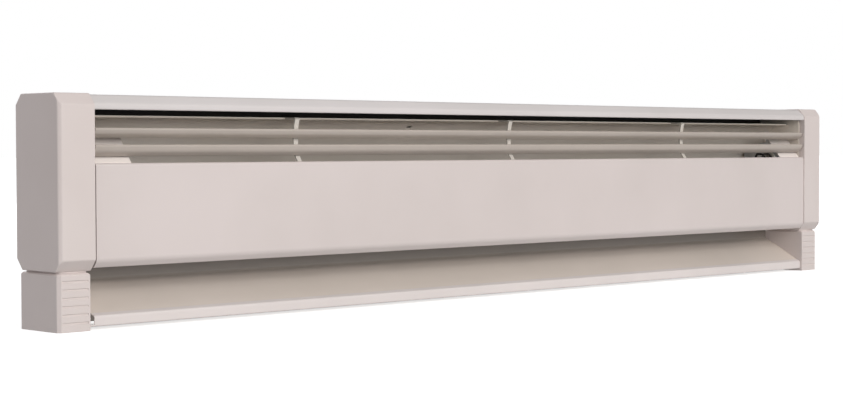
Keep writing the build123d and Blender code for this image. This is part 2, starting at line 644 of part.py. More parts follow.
def front_panel():
    """Panel with a rolled hem at the top, which hooks on the brackets, and a curl at the bottom."""
    rear_y = HINGE_Y + HEM_RADIUS
    hem_z = HINGE_Z - HEM_LEG
    centre = (HINGE_Y, HINGE_Z)
    inner_y = PANEL_FRONT_Y + SHEET
    inner_z = PANEL_BOTTOM_Z + SHEET
    curl_y = PANEL_CURL_Y - SHEET
    with BuildSketch(Plane.YZ) as profile:
        with BuildLine():
            Line((rear_y, hem_z), (rear_y, HINGE_Z))
            CenterArc(centre, HEM_RADIUS, 0, 180)
            FilletPolyline(
                (PANEL_FRONT_Y, HINGE_Z),
                (PANEL_FRONT_Y, PANEL_BOTTOM_Z),
                (PANEL_CURL_Y, PANEL_BOTTOM_Z),
                (PANEL_CURL_Y, PANEL_CURL_TOP_Z),
                radius=[PANEL_CURL_RADIUS, PANEL_EDGE_RADIUS],
            )
            Line((PANEL_CURL_Y, PANEL_CURL_TOP_Z), (curl_y, PANEL_CURL_TOP_Z))
            FilletPolyline(
                (curl_y, PANEL_CURL_TOP_Z),
                (curl_y, inner_z),
                (inner_y, inner_z),
                (inner_y, HINGE_Z),
                radius=[PANEL_EDGE_RADIUS - SHEET, PANEL_CURL_RADIUS - SHEET],
            )
            CenterArc(centre, HEM_RADIUS - SHEET, 180, -180)
            Line((rear_y - SHEET, HINGE_Z), (rear_y - SHEET, hem_z))
            Line((rear_y - SHEET, hem_z), (rear_y, hem_z))
        make_face()
    return Pos(PANEL_X[0], 0, 0) * extrude(profile.sketch, amount=PANEL_X[1] - PANEL_X[0], dir=(1, 0, 0))


def cap_opening():
    """Outline of the opening in the inner side of the end cap, which the clips pass through."""
    low, high = CAP_OPENING_Z
    side = CAP_OPENING_Y
    cut = CAP_OPENING_CORNER
    return [
        (-side, low + cut),
        (-side, high - cut),
        (-side + cut, high),
        (side - cut, high),
        (side, high - cut),
        (side, low + cut),
        (side - cut, low),
        (-side + cut, low),
    ]


def cap_outline(inset, low_z):
    """Chamfered section of the end cap, drawn in by a wall thickness."""
    front = -HALF_DEPTH + inset
    rear = HALF_DEPTH - inset
    top = HEIGHT - inset
    low = low_z + inset
    cut_y = CAP_CORNER_Y - inset * 0.3
    cut_z = CAP_CORNER_Z - inset * 0.3
    return [
        (front, low + cut_z),
        (front, top - cut_z),
        (front + cut_y, top),
        (rear - cut_y, top),
        (rear, top - cut_z),
        (rear, low + cut_z),
        (rear - cut_y, low),
        (front + cut_y, low),
    ]


def end_cap():
    """Right-hand moulded end cap with its foot."""
    outer_x = LENGTH / 2
    casing = plate(cap_outline(0.0, CAP_BLOCK_Z), CAP_INNER_X, outer_x)
    upright = casing.edges().filter_by(Axis.Z).sort_by(Axis.X)[-2:]
    casing = chamfer(upright.sort_by(Axis.Y)[0], CAP_EDGE)
    foot_x = (CAP_INNER_X + FOOT_INNER_INSET, outer_x - FOOT_SIDE_INSET)
    foot_y = (-HALF_DEPTH + FOOT_FRONT_INSET, HALF_DEPTH - FOOT_REAR_INSET)
    foot = block(foot_x, foot_y, (0.0, FOOT_TOP_Z))
    corner = foot.edges().filter_by(Axis.Z).sort_by(Axis.X)[-2:].sort_by(Axis.Y)[0]
    foot = chamfer(corner, CAP_EDGE)
    foot = chamfer(foot.edges().group_by(Axis.Z)[-1], FOOT_BEVEL)
    for index in range(FOOT_GROOVES):
        z = FOOT_GROOVE_FIRST_Z + index * FOOT_GROOVE_PITCH
        groove_x = (foot_x[0] + FOOT_GROOVE_BORDER, foot_x[1] - CAP_EDGE - 1.0)
        groove_y = (foot_y[0] - 1, foot_y[0] + FOOT_GROOVE_DEPTH)
        foot -= block(groove_x, groove_y, (z - FOOT_GROOVE_WIDTH / 2, z + FOOT_GROOVE_WIDTH / 2))
    neck_x = (foot_x[0] + FOOT_BEVEL + 0.5, foot_x[1] - FOOT_BEVEL - 2.0)
    neck_y = (foot_y[0] + FOOT_BEVEL + 2.0, foot_y[1] - FOOT_BEVEL - 2.0)
    neck = block(neck_x, neck_y, (FOOT_TOP_Z - 1.0, CAP_BLOCK_Z + 1.0))
    cap = casing + foot + neck
    cap -= plate(cap_outline(CAP_WALL, CAP_BLOCK_Z), CAP_INNER_X + CAP_WEB, outer_x - CAP_WALL)
    cap -= plate(cap_opening(), CAP_INNER_X - CAP_WEB, CAP_INNER_X + 2 * CAP_WEB)
    hollow_x = (foot_x[0] + FOOT_WALL, foot_x[1] - FOOT_WALL)
    hollow_y = (foot_y[0] + FOOT_WALL, foot_y[1] - FOOT_WALL)
    well_x = (neck_x[0] + FOOT_WALL, neck_x[1] - FOOT_WALL)
    well_y = (neck_y[0] + FOOT_WALL, neck_y[1] - FOOT_WALL)
    cap -= block(hollow_x, hollow_y, (FOOT_WALL, FOOT_TOP_Z - FOOT_WALL - FOOT_BEVEL))
    cap -= block(well_x, well_y, (FOOT_TOP_Z - FOOT_WALL - 5.0, CAP_BLOCK_Z + CAP_WALL + 1.0))
    return cap


def main():
    os.makedirs("parts", exist_ok=True)
    save("back_panel", back_panel())
    save("top_rail", top_rail())
    save("air_deflector", air_deflector())
    save("inlet_tray", inlet_tray())
    save("louver_blade_upper", louver_blade(*UPPER_BLADE_Z))
    save("louver_blade_lower", louver_blade(*LOWER_BLADE_Z))
    save("louver_tabs", *louver_tabs())
    save("front_panel", front_panel())
    save("element_tube", element_tube())
    save("heating_rod", rod_x(ROD_RADIUS, -ROD_HALF, ROD_HALF, ELEMENT_Y, ELEMENT_Z))

    for name, x in (("left", -BAY), ("centre", 0.0), ("right", BAY)):
        save("support_bracket_" + name, support_bracket(x))
        save("element_glide_" + name, element_glide(x))

    supports = [-PARTITION_X, -BAY, 0.0, BAY, PARTITION_X]
    names = ["outer_left", "inner_left", "inner_right", "outer_right"]
    margin = BRACKET_THICK / 2 + GLIDE_RIM + 2.0
    for name, low_x, high_x in zip(names, supports[:-1], supports[1:]):
        save("fin_section_" + name, fin_section(low_x + margin, high_x - margin))

    ends = (
        ("partition", [partition()]),
        ("wiring_cover", [wiring_cover()]),
        ("end_plate", [end_plate()]),
        ("end_fitting", [end_fitting()]),
        ("cap_clips", [cap_clip(y, CLIP_Z) for y in CLIP_Y]),
        ("end_cap", [end_cap()]),
    )
    for name, parts in ends:
        save(name + "_right", *parts)
        save(name + "_left", *[mirrored(part) for part in parts])

    pairs = (
        ("terminal_insulators", terminal_insulator()),
        ("terminal_nuts", terminal_nut()),
        ("partition_bushings", partition_bushing()),
        ("cover_screws", cover_screw()),
        ("ground_screws", ground_screw()),
    )
    for name, part in pairs:
        save(name, part, mirrored(part))

    save("panel_bumpers", *[panel_bumper(x) for x in (-BAY, 0.0, BAY)])
    save("capillary_grommets", *[capillary_grommet(x) for x in (-BAY, 0.0, BAY)])
    save("limit_switch", limit_switch())
    save("limit_switch_bracket", limit_switch_bracket())
    save("capillary_bulb", rod_x(CAPILLARY_RADIUS, -480.0, SWITCH_X[0], CAPILLARY_Y, CAPILLARY_Z))
    save("limit_leads", *[limit_lead(y) for y in LEAD_Y])
    save("return_lead", rod_x(WIRE_RADIUS, -530.0, 530.0, RETURN_Y, RETURN_Z))
    save("wire_connectors", *[wire_connector(LEAD_END_X, y, LEAD_END_Z - 0.7) for y in LEAD_Y])
    save("chassis_rivets", *[rivet(*place) for place in rivet_places()])


main()
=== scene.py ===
import json
import math

import bmesh
import bpy
from mathutils import Matrix, Vector


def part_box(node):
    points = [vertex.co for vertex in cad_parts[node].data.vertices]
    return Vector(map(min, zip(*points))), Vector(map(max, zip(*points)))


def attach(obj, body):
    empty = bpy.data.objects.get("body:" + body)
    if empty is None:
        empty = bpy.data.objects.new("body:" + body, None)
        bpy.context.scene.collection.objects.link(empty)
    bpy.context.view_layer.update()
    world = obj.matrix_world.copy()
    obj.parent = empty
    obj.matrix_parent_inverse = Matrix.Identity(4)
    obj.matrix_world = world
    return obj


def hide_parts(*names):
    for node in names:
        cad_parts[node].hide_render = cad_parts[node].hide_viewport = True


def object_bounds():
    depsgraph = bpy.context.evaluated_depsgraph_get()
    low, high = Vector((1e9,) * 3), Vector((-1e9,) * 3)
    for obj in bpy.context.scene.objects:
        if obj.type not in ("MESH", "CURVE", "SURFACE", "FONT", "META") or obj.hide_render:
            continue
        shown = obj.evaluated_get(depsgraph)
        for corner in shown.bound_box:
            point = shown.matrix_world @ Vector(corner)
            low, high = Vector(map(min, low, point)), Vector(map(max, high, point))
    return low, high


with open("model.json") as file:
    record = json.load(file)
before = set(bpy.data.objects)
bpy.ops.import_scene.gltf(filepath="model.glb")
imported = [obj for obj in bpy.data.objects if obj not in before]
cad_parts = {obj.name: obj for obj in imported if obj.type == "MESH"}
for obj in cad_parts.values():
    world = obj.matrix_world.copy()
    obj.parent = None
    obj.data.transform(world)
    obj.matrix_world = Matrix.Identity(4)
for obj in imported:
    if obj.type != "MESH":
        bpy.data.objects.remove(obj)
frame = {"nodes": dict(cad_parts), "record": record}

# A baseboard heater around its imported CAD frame. Metres, +Z up, -Y out into the room.

CAD_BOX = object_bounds()
MM = 0.001
TINY = 0.001 * MM               # how far apart two vertices in one plane may be
SHEET = 1.0 * MM                # thickness of the folded sheets
SHEET_EDGE = 0.22 * MM          # rounding of the folded sheets' cut edges
CAD_EDGE = 0.25 * MM            # rounding of the CAD nodes' sharp edges
CAP_EDGE = 0.3 * MM             # rounding of the end caps' opening
FOOT_EDGE = 0.35 * MM           # rounding of the feet and their grooves
GRAIN = 0.2 * MM                # height of the fine grain in the surfaces
LEVEL = 0.95                    # upward part of the normal of a face that counts as level, and takes painted light on the blades

# Top rail: a slope down to an upright nose with a lip turned in
RAIL_SLOPE = (9.0 * MM, 8.0 * MM)           # run, drop
RAIL_NOSE_BOTTOM = 13.5 * MM                # below the top
RAIL_LIP = 4.0 * MM

# Front panel: a rolled top hem and a slanted band at the bottom, turned in behind
PANEL_HEM = 2.5 * MM                        # radius
PANEL_HEM_TAIL = 1.5 * MM
PANEL_BAND = (5.4 * MM, 6.0 * MM)           # depth, height
PANEL_RETURN = 6.5 * MM

# Louver blades: a flat top, a leaning face and a foot that curls back
BLADE_SETBACK = 1.3 * MM                    # behind the front of the heater
BLADE_KNEE = 0.57                           # share of the blade's height
BLADE_LEAN = 2.2 * MM                       # how far back the knee is
BLADE_FOOT = 7.7 * MM                       # how far back the foot is

# Air deflector: a quarter curve with an upturned hem and one slot
DEFLECTOR_RADIUS = 38.0 * MM
DEFLECTOR_HEM = 1.0 * MM
SLOT_X = (-118.5 * MM, -111.5 * MM)
SLOT_HALF_HEIGHT = 2.5 * MM
SLOT_CUT = 2.0 * MM                         # reach of the cutter on each side of the sheet
SLOT_TURN = math.radians(57.0)              # round the curve from level

# Inlet tray: heights above its underside and depths behind its front
TRAY_RETURN = 12.0 * MM
TRAY_LIP = 9.5 * MM
TRAY_SHOULDER = (5.0 * MM, 11.8 * MM)       # depth, height
TRAY_BREAK = (27.0 * MM, 24.5 * MM)
TRAY_RAMP_TOP = 38.0 * MM
TRAY_STEP = 55.0 * MM
TRAY_TOP = 69.0 * MM
TRAY_FLANGE = (7.0 * MM, 6.0 * MM)          # depth of the flange's inner end, run of its step
TRAY_LIP_LIGHT_DEPTH = 6.5 * MM                   # depth of the lip that takes the painted light
NOTCH = (2.5 * MM, 49.0 * MM)               # width, bottom
LIP_GAP = (5.5 * MM, 7.0 * MM)              # width, depth
LIP_GAP_HEIGHTS = (2.0 * MM, 14.5 * MM)

# End caps: heights above the floor, and how far pieces stand in from the cap's box
CAP_BASE = 53.0 * MM
CAP_CHAMFER = (8.5 * MM, 10.0 * MM)         # depth, height
CAP_SHRINK = 0.3                            # how much the chamfers lose as the outline moves in
CAP_CORNER = 3.0 * MM                       # cut off the front upright edge, on the outer side
CAP_ROUND = 1.1 * MM
CAP_WALL = 2.4 * MM
CAP_WEB = 1.2 * MM                          # the inner wall, thinner than the others
CAP_OPENING_HALF = 24.0 * MM
CAP_OPENING_HEIGHTS = (150.0 * MM, 200.0 * MM)
FOOT_SIDES = (2.5 * MM, 1.5 * MM)           # in from the inner and the outer side
FOOT_ENDS = (5.5 * MM, 4.5 * MM)            # in from the front and the rear
FOOT_TOP = 51.5 * MM
FOOT_RIM = 1.5 * MM
GROOVES = 6
GROOVE_FIRST = 7.6 * MM
GROOVE_PITCH = 7.35 * MM
GROOVE_HALF = 0.9 * MM                      # half its height, and its depth
GROOVE_SIDES = (2.0 * MM, 4.0 * MM)         # in from the foot's inner and outer side
NECK_SIDES = (4.5 * MM, 5.0 * MM)
NECK_ENDS = (9.0 * MM, 8.0 * MM)
NECK_HEIGHTS = (50.6 * MM, 54.0 * MM)

# Floor: its glow grows between two distances, in metres from the middle of the heater
FLOOR_HALF = 30.0
GLOW_DISTANCES = (0.9, 2.6)
GLOW_STRENGTHS = (0.62, 1.0)

# Backdrop: what the camera sees of it, and what falls on the heater
BACKDROP_SEEN = 1.0
BACKDROP_LIGHT = 0.25

# Camera: the view from the room
CAMERA_PLACE = (-1.46531, -1.38811, 0.15989)
CAMERA_LENS = 78.175
CAMERA_ANGLES = (44.262, -1.708, -0.165)    # yaw, pitch and roll in degrees


# ---------------------------------------------------------------- materials

def new_material(name):
    """A node material, with its nodes and links."""
    material = bpy.data.materials.new(name)
    material.use_nodes = True
    return material, material.node_tree.nodes, material.node_tree.links


def noise(nodes, links, scale, detail=4.0, stretch=(1.0, 1.0, 1.0)):
    """Noise in object coordinates, with one cycle about every 1/scale metres."""
    place = nodes.new("ShaderNodeTexCoord")
    mapping = nodes.new("ShaderNodeMapping")
    mapping.inputs["Scale"].default_value = stretch
    texture = nodes.new("ShaderNodeTexNoise")
    texture.inputs["Scale"].default_value = scale
    texture.inputs["Detail"].default_value = detail
    links.new(place.outputs["Object"], mapping.inputs["Vector"])
    links.new(mapping.outputs["Vector"], texture.inputs["Vector"])
    return texture.outputs["Fac"]


def ramp(nodes, links, factor, low, high, start=0.35, end=0.65):
    """Two colours mixed by a factor, with soft ends."""
    blend = nodes.new("ShaderNodeValToRGB")
    blend.color_ramp.elements[0].position = start
    blend.color_ramp.elements[0].color = (*low, 1.0)
    blend.color_ramp.elements[1].position = end
    blend.color_ramp.elements[1].color = (*high, 1.0)
    links.new(factor, blend.inputs["Fac"])
    return blend.outputs["Color"]


def spread(nodes, links, factor, low, high):
    """A number between low and high, driven by a factor."""
    scale = nodes.new("ShaderNodeMapRange")
    scale.inputs["To Min"].default_value = low
    scale.inputs["To Max"].default_value = high
    links.new(factor, scale.inputs["Value"])
    return scale.outputs["Result"]


def fade(nodes, links, colour, heights, strengths):
    """A colour dimmed by height, from the first strength to the second."""
    place = nodes.new("ShaderNodeTexCoord")
    split = nodes.new("ShaderNodeSeparateXYZ")
    links.new(place.outputs["Object"], split.inputs["Vector"])
    share = nodes.new("ShaderNodeMapRange")
    share.interpolation_type = "SMOOTHSTEP"
    share.inputs["From Min"].default_value, share.inputs["From Max"].default_value = heights
    share.inputs["To Min"].default_value, share.inputs["To Max"].default_value = strengths
    links.new(split.outputs["Z"], share.inputs["Value"])
    dim = nodes.new("ShaderNodeVectorMath")
    dim.operation = "SCALE"
    links.new(colour, dim.inputs["Vector"])
    links.new(share.outputs["Result"], dim.inputs["Scale"])
    return dim.outputs["Vector"]


def surface(name, low, high, roughness, metallic=0.0, patch=6.0, grain=900.0, bump=0.05,
            stretch=(1.0, 1.0, 1.0), coat=0.0, heights=None, strengths=None):
    """A surface whose colour drifts in soft patches, with a fine raised grain.

    With heights, in metres above the floor, it dims between them from the first strength to the second.
    """
    material, nodes, links = new_material(name)
    shader = nodes["Principled BSDF"]
    colour = ramp(nodes, links, noise(nodes, links, patch, stretch=stretch), low, high)
    if heights:
        colour = fade(nodes, links, colour, heights, strengths)
    links.new(colour, shader.inputs["Base Color"])
    gloss = noise(nodes, links, patch * 7.0, stretch=stretch)
    links.new(spread(nodes, links, gloss, *roughness), shader.inputs["Roughness"])
    shader.inputs["Metallic"].default_value = metallic
    shader.inputs["Coat Weight"].default_value = coat
    relief = nodes.new("ShaderNodeBump")
    relief.inputs["Strength"].default_value = bump
    relief.inputs["Distance"].default_value = GRAIN
    links.new(noise(nodes, links, grain, 2.0, stretch), relief.inputs["Height"])
    links.new(relief.outputs["Normal"], shader.inputs["Normal"])
    return material


PAINT = surface(
    "painted_steel", (0.670, 0.597, 0.576), (0.716, 0.637, 0.620), (0.34, 0.44), bump=0.035, coat=0.08)
# Tray: a lighter, warmer copy of the paint as painted bounce light, dimmed above the top of its ramp as
# painted shade under the front panel.
TRAY_BOUNCE_LIGHT_AND_SHADE = surface(
    "tray_painted_bounce_and_shade", (0.730, 0.645, 0.576), (0.780, 0.689, 0.620), (0.36, 0.46), bump=0.035,
    heights=(0.036, 0.044), strengths=(1.0, 0.38))
# The tray's lip: a lighter copy of the paint, painted light where the lip catches the softboxes.
LIP_PAINTED_LIGHT = surface("lip_painted_light", (0.755, 0.690, 0.670), (0.805, 0.735, 0.715), (0.34, 0.44), bump=0.035)
# Rail: the paint tinted cooler and greener, as painted light from the cool light above.
RAIL_COOL_LIGHT_PAINT = surface(
    "rail_painted_cool_light", (0.672, 0.632, 0.622), (0.718, 0.674, 0.670), (0.34, 0.44), bump=0.035, coat=0.08)
# Inside: a lighter, warmer copy of the paint as painted bounce light, darker below about 16 cm as painted
# shade.
INNER_BOUNCE_LIGHT_AND_SHADE = surface(
    "inner_paint", (0.850, 0.775, 0.688), (0.910, 0.835, 0.758), (0.42, 0.55), bump=0.035,
    heights=(0.160, 0.176), strengths=(0.76, 1.0))
# Wiring covers: a lighter copy of the paint, painted light for covers that sit back in the outlet.
COVER_LIT_PAINT = surface(
    "cover_painted_light", (0.830, 0.760, 0.718), (0.880, 0.808, 0.766), (0.36, 0.48), bump=0.035)
# Near black painted on the rail's inner side, standing in for the shade in the gap under the rail.
SHADE_BLACK = surface("painted_shade_black", (0.026, 0.022, 0.018), (0.036, 0.031, 0.026), (0.60, 0.75), bump=0.03)
# Blades: a darker copy of the paint, painted shade for faces that lean back and down under the blade
# above.
BLADE_SHADE_PAINT = surface(
    "blade_painted_shade", (0.475, 0.415, 0.370), (0.515, 0.452, 0.405), (0.36, 0.46), bump=0.035)
# Ribs of the support brackets: a darker copy of the paint, painted shade for ribs set back in the outlet.
RIB_SHADE_PAINT = surface("rib_painted_shade", (0.580, 0.540, 0.490), (0.640, 0.600, 0.550), (0.36, 0.46), bump=0.03)
CAP_PLASTIC = surface(
    "cap_plastic", (0.690, 0.610, 0.586), (0.732, 0.655, 0.633), (0.44, 0.54), grain=1600.0, bump=0.1)
GALVANISED = surface(
    "galvanised_steel", (0.46, 0.47, 0.48), (0.66, 0.67, 0.68), (0.32, 0.55), 1.0, patch=70.0, bump=0.05)
SPRING_STEEL = surface(
    "spring_steel", (0.50, 0.50, 0.51), (0.60, 0.60, 0.61), (0.22, 0.34), 1.0, patch=40.0)
COPPER = surface(
    "copper", (0.72, 0.36, 0.22), (0.86, 0.48, 0.32), (0.24, 0.42), 1.0, patch=30.0, stretch=(0.2, 1, 1))
FIN_METAL = surface("fin_aluminium", (0.72, 0.73, 0.74), (0.84, 0.85, 0.86), (0.28, 0.42), 1.0, patch=60.0)
BRASS = surface("brass_fitting", (0.66, 0.48, 0.20), (0.80, 0.62, 0.30), (0.22, 0.36), 1.0, patch=60.0)
ROD_SHEATH = surface("rod_sheath", (0.20, 0.19, 0.18), (0.34, 0.32, 0.30), (0.40, 0.60), 1.0, patch=80.0)
CERAMIC = surface(
    "ceramic_bush", (0.80, 0.78, 0.72), (0.86, 0.84, 0.79), (0.55, 0.70), patch=90.0, bump=0.2)
NYLON = surface("nylon", (0.72, 0.70, 0.62), (0.80, 0.78, 0.71), (0.38, 0.50), patch=60.0, bump=0.04)
SWITCH_CASE = surface("switch_case", (0.30, 0.25, 0.20), (0.36, 0.30, 0.25), (0.34, 0.46), patch=90.0)
RUBBER = surface(
    "black_rubber", (0.018, 0.018, 0.018), (0.032, 0.031, 0.030), (0.60, 0.75), patch=90.0, bump=0.15)
WIRE_JACKET = surface(
    "wire_jacket", (0.016, 0.013, 0.010), (0.030, 0.026, 0.022), (0.45, 0.62), patch=120.0)
CONNECTOR = surface("connector_plastic", (0.72, 0.20, 0.02), (0.80, 0.26, 0.04), (0.28, 0.38), patch=90.0)
EARTH_GREEN = surface(
    "earth_green", (0.02, 0.16, 0.04), (0.03, 0.22, 0.06), (0.28, 0.42), 0.6, patch=200.0)

CAD_MATERIALS = {
    "painted_steel": PAINT,
    # The inside's slot takes the copy with painted bounce light and painted shade.
    "inner_paint": INNER_BOUNCE_LIGHT_AND_SHADE,
    "cap_plastic": CAP_PLASTIC,
    "galvanised_steel": GALVANISED,
    "spring_steel": SPRING_STEEL,
    "copper": COPPER,
    "fin_aluminium": FIN_METAL,
    "brass_fitting": BRASS,
    "rod_sheath": ROD_SHEATH,
    "ceramic_bush": CERAMIC,
    "nylon": NYLON,
    "switch_case": SWITCH_CASE,
    "black_rubber": RUBBER,
    "wire_jacket": WIRE_JACKET,
    "connector_plastic": CONNECTOR,
    "earth_green": EARTH_GREEN,
}


# ---------------------------------------------------------------- mesh helpers

def soften(piece, width, angle, weld=False):
    """Round the edges that are sharper than an angle in degrees, and shade the flat faces flat."""
    if weld:
        piece.modifiers.new("weld", "WELD").merge_threshold = 2 * TINY
    bevel = piece.modifiers.new("bevel", "BEVEL")
    bevel.width = width
    bevel.segments = 2
    bevel.limit_method = "ANGLE"
    bevel.angle_limit = math.radians(angle)
    piece.modifiers.new("normals", "WEIGHTED_NORMAL").keep_sharp = True


def add_piece(name, mesh, material, body, slot, *nodes):
    """A new piece that rides on a body and may stand for CAD nodes."""
    piece = bpy.data.objects.new(name, mesh)
    bpy.context.scene.collection.objects.link(piece)
    mesh.materials.append(material)
    for face in mesh.polygons:
        face.use_smooth = True
    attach(piece, body)
    if nodes:
        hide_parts(*nodes)
    return piece


def arc_points(corner, before, after, radius, step=math.radians(9)):
    """A rounded corner between two straight runs, as points on its arc."""
    inward = (before - corner).normalized()
    outward = (after - corner).normalized()
    half = inward.angle(outward) / 2
    reach = radius / math.tan(half)
    centre = corner + (inward + outward).normalized() * (radius / math.sin(half))
    start = corner + inward * reach - centre
    end = corner + outward * reach - centre
    turn = math.pi - 2 * half
    side = 1 if start.cross(end) > 0 else -1
    count = max(2, math.ceil(turn / step))
    return [centre + Matrix.Rotation(side * turn * i / count, 2) @ start for i in range(count + 1)]


def rounded_path(points, radii):
    """A bent line: straight runs between the points, with a radius at each inner point."""
    points = [Vector(p) for p in points]
    path = [points[0]]
    for before, corner, after, radius in zip(points, points[1:], points[2:], radii):
        path += arc_points(corner, before, after, radius) if radius else [corner]
    return path + [points[-1]]


def offset_path(path, distance):
    """The line beside a path, to its left for a positive distance."""
    beside = []
    for i, point in enumerate(path):
        before = (point - path[i - 1]).normalized() if i else None
        after = (path[i + 1] - point).normalized() if i + 1 < len(path) else None
        along = (before or after) + (after or before)
        along.normalize()
        normal = Vector((-along.y, along.x))
        bend = along.dot(after or before)
        beside.append(point + normal * distance / bend)
    return beside


def bent_sheet(name, low_x, high_x, path, thickness):
    """The mesh of a folded sheet whose section is a path in the YZ plane."""
    outline = path + offset_path(path, thickness)[::-1]
    mesh = bpy.data.meshes.new(name)
    shape = bmesh.new()
    rings = [[shape.verts.new((x, p.x, p.y)) for p in outline] for x in (low_x, high_x)]
    count = len(outline)
    for i in range(count):
        j = (i + 1) % count
        shape.faces.new((rings[0][i], rings[0][j], rings[1][j], rings[1][i]))
    half = len(path)
    for ring in rings:
        for i in range(half - 1):
            shape.faces.new((ring[i], ring[i + 1], ring[count - 2 - i], ring[count - 1 - i]))
    bmesh.ops.recalc_face_normals(shape, faces=shape.faces)
    shape.to_mesh(mesh)
    shape.free()
    return mesh


def prism(name, outline, low_x, high_x):
    """A closed solid with a YZ outline."""
    mesh = bpy.data.meshes.new(name)
    shape = bmesh.new()
    rings = [[shape.verts.new((x, y, z)) for y, z in outline] for x in (low_x, high_x)]
    count = len(outline)
    for i in range(count):
        j = (i + 1) % count
        shape.faces.new((rings[0][i], rings[0][j], rings[1][j], rings[1][i]))
    shape.faces.new(rings[0])
    shape.faces.new(rings[1])
    bmesh.ops.recalc_face_normals(shape, faces=shape.faces)
    shape.to_mesh(mesh)
    shape.free()
    return mesh


def box_mesh(name, low, high):
    """A closed rectangular mesh between two corners."""
    outline = [(low[1], low[2]), (high[1], low[2]), (high[1], high[2]), (low[1], high[2])]
    return prism(name, outline, low[0], high[0])


def carve(piece, *cutter_meshes):
    """Cut closed meshes out of a piece."""
    scene = bpy.context.scene
    for mesh in cutter_meshes:
        cutter = bpy.data.objects.new("cutter", mesh)
        scene.collection.objects.link(cutter)
        cut = piece.modifiers.new("cut", "BOOLEAN")
        cut.object = cutter
        cut.operation = "DIFFERENCE"
        cut.solver = "EXACT"
        bpy.context.view_layer.update()
        whole = bpy.context.evaluated_depsgraph_get()
        piece.data = bpy.data.meshes.new_from_object(piece.evaluated_get(whole))
        piece.modifiers.clear()
        bpy.data.objects.remove(cutter)
    for face in piece.data.polygons:
        face.use_smooth = True


def sheet_piece(name, node, points, radii, thickness, material, slot, body="chassis", cutters=(),
                offset_shade=None):
    """A folded sheet that stands for a CAD node of the same length. An optional second material paints its
    offset side, for painted shade.
    """
    low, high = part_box(node)
    path = rounded_path(points, radii)
    mesh = bent_sheet(name, low.x, high.x, path, thickness)
    piece = add_piece(name, mesh, material, body, slot, node)
    if offset_shade:
        mesh.materials.append(offset_shade)
        for index in range(len(path), 2 * len(path) - 1):
            mesh.polygons[index].material_index = 1
    carve(piece, *cutters)
    soften(piece, SHEET_EDGE, 50.0)
    return piece


def paint_faces(piece, material, chosen):
    """A second material on the faces that a test picks out."""
    piece.data.materials.append(material)
    for face in piece.data.polygons:
        if chosen(face):
            face.material_index = 1


# ---------------------------------------------------------------- folded sheets

def rail_cover():
    """Top rail with its sloped nose, painted near black on its inner side as painted shade."""
    low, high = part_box("top_rail")
    run, drop = RAIL_SLOPE
    nose_bottom = high.z - RAIL_NOSE_BOTTOM
    points = [
        (high.y, low.z),
        (high.y, high.z),
        (low.y + run, high.z),
        (low.y, high.z - drop),
        (low.y, nose_bottom),
        (low.y + RAIL_LIP, nose_bottom),
    ]
    radii = [r * MM for r in (1.5, 6.0, 4.0, 1.2)]
    sheet_piece("rail_cover", "top_rail", points, radii, SHEET, RAIL_COOL_LIGHT_PAINT, "painted_steel", offset_shade=SHADE_BLACK)


def front_cover():
    """Front panel with its rolled top hem and slanted bottom band."""
    low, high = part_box("front_panel")
    band_depth, band_height = PANEL_BAND
    hem_y = low.y + 2 * PANEL_HEM
    points = [
        (hem_y, high.z - PANEL_HEM - PANEL_HEM_TAIL),
        (hem_y, high.z),
        (low.y, high.z),
        (low.y, low.z + band_height),
        (low.y + band_depth, low.z),
        (high.y, low.z),
        (high.y, low.z + PANEL_RETURN),
    ]
    hem_turn = PANEL_HEM * 0.999                # a hair less, so that its two arcs don't meet
    radii = [hem_turn, hem_turn, 7.0 * MM, 2.0 * MM, 1.4 * MM]
    sheet_piece("front_cover", "front_panel", points, radii, SHEET, PAINT, "painted_steel", "front_panel")


def louver(name, node):
    """An outlet blade in a darker copy of the paint as painted shade, with painted light on its flat top.
    """
    low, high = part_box(node)
    corner_y = CAD_BOX[0][1] + BLADE_SETBACK
    points = [
        (high.y, high.z),
        (corner_y, high.z),
        (corner_y + BLADE_LEAN, high.z - BLADE_KNEE * (high.z - low.z)),
        (corner_y + BLADE_FOOT, low.z),
    ]
    piece = sheet_piece(name, node, points, [1.4 * MM, 9.0 * MM], SHEET, BLADE_SHADE_PAINT, "painted_steel")
    # The flat tops take the lighter inside copy of the paint: painted light on the blades' tops.
    paint_faces(piece, INNER_BOUNCE_LIGHT_AND_SHADE, lambda face: face.normal.z > LEVEL)


def deflector_sheet():
    """Curved sheet behind the louvers, with an upturned hem and one slot."""
    low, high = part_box("air_deflector")
    top = high.z - DEFLECTOR_HEM
    points = [
        (high.y, low.z),
        (high.y, top),
        (low.y + SHEET, top),
        (low.y + SHEET, high.z),
    ]
    centre = Vector((high.y - DEFLECTOR_RADIUS, top - DEFLECTOR_RADIUS))
    along = Vector((-math.sin(SLOT_TURN), math.cos(SLOT_TURN))) * SLOT_HALF_HEIGHT
    across = Vector((math.cos(SLOT_TURN), math.sin(SLOT_TURN)))
    near = centre + across * (DEFLECTOR_RADIUS - SLOT_CUT)
    far = centre + across * (DEFLECTOR_RADIUS + SLOT_CUT)
    slot = prism("slot_cutter", [near - along, far - along, far + along, near + along], *SLOT_X)
    radii = [DEFLECTOR_RADIUS, 0.5 * MM]
    # The deflector takes the inside copy, with painted bounce light and painted shade lower down.
    sheet_piece("deflector_sheet", "air_deflector", points, radii, SHEET, INNER_BOUNCE_LIGHT_AND_SHADE, "inner_paint",
                cutters=[slot])


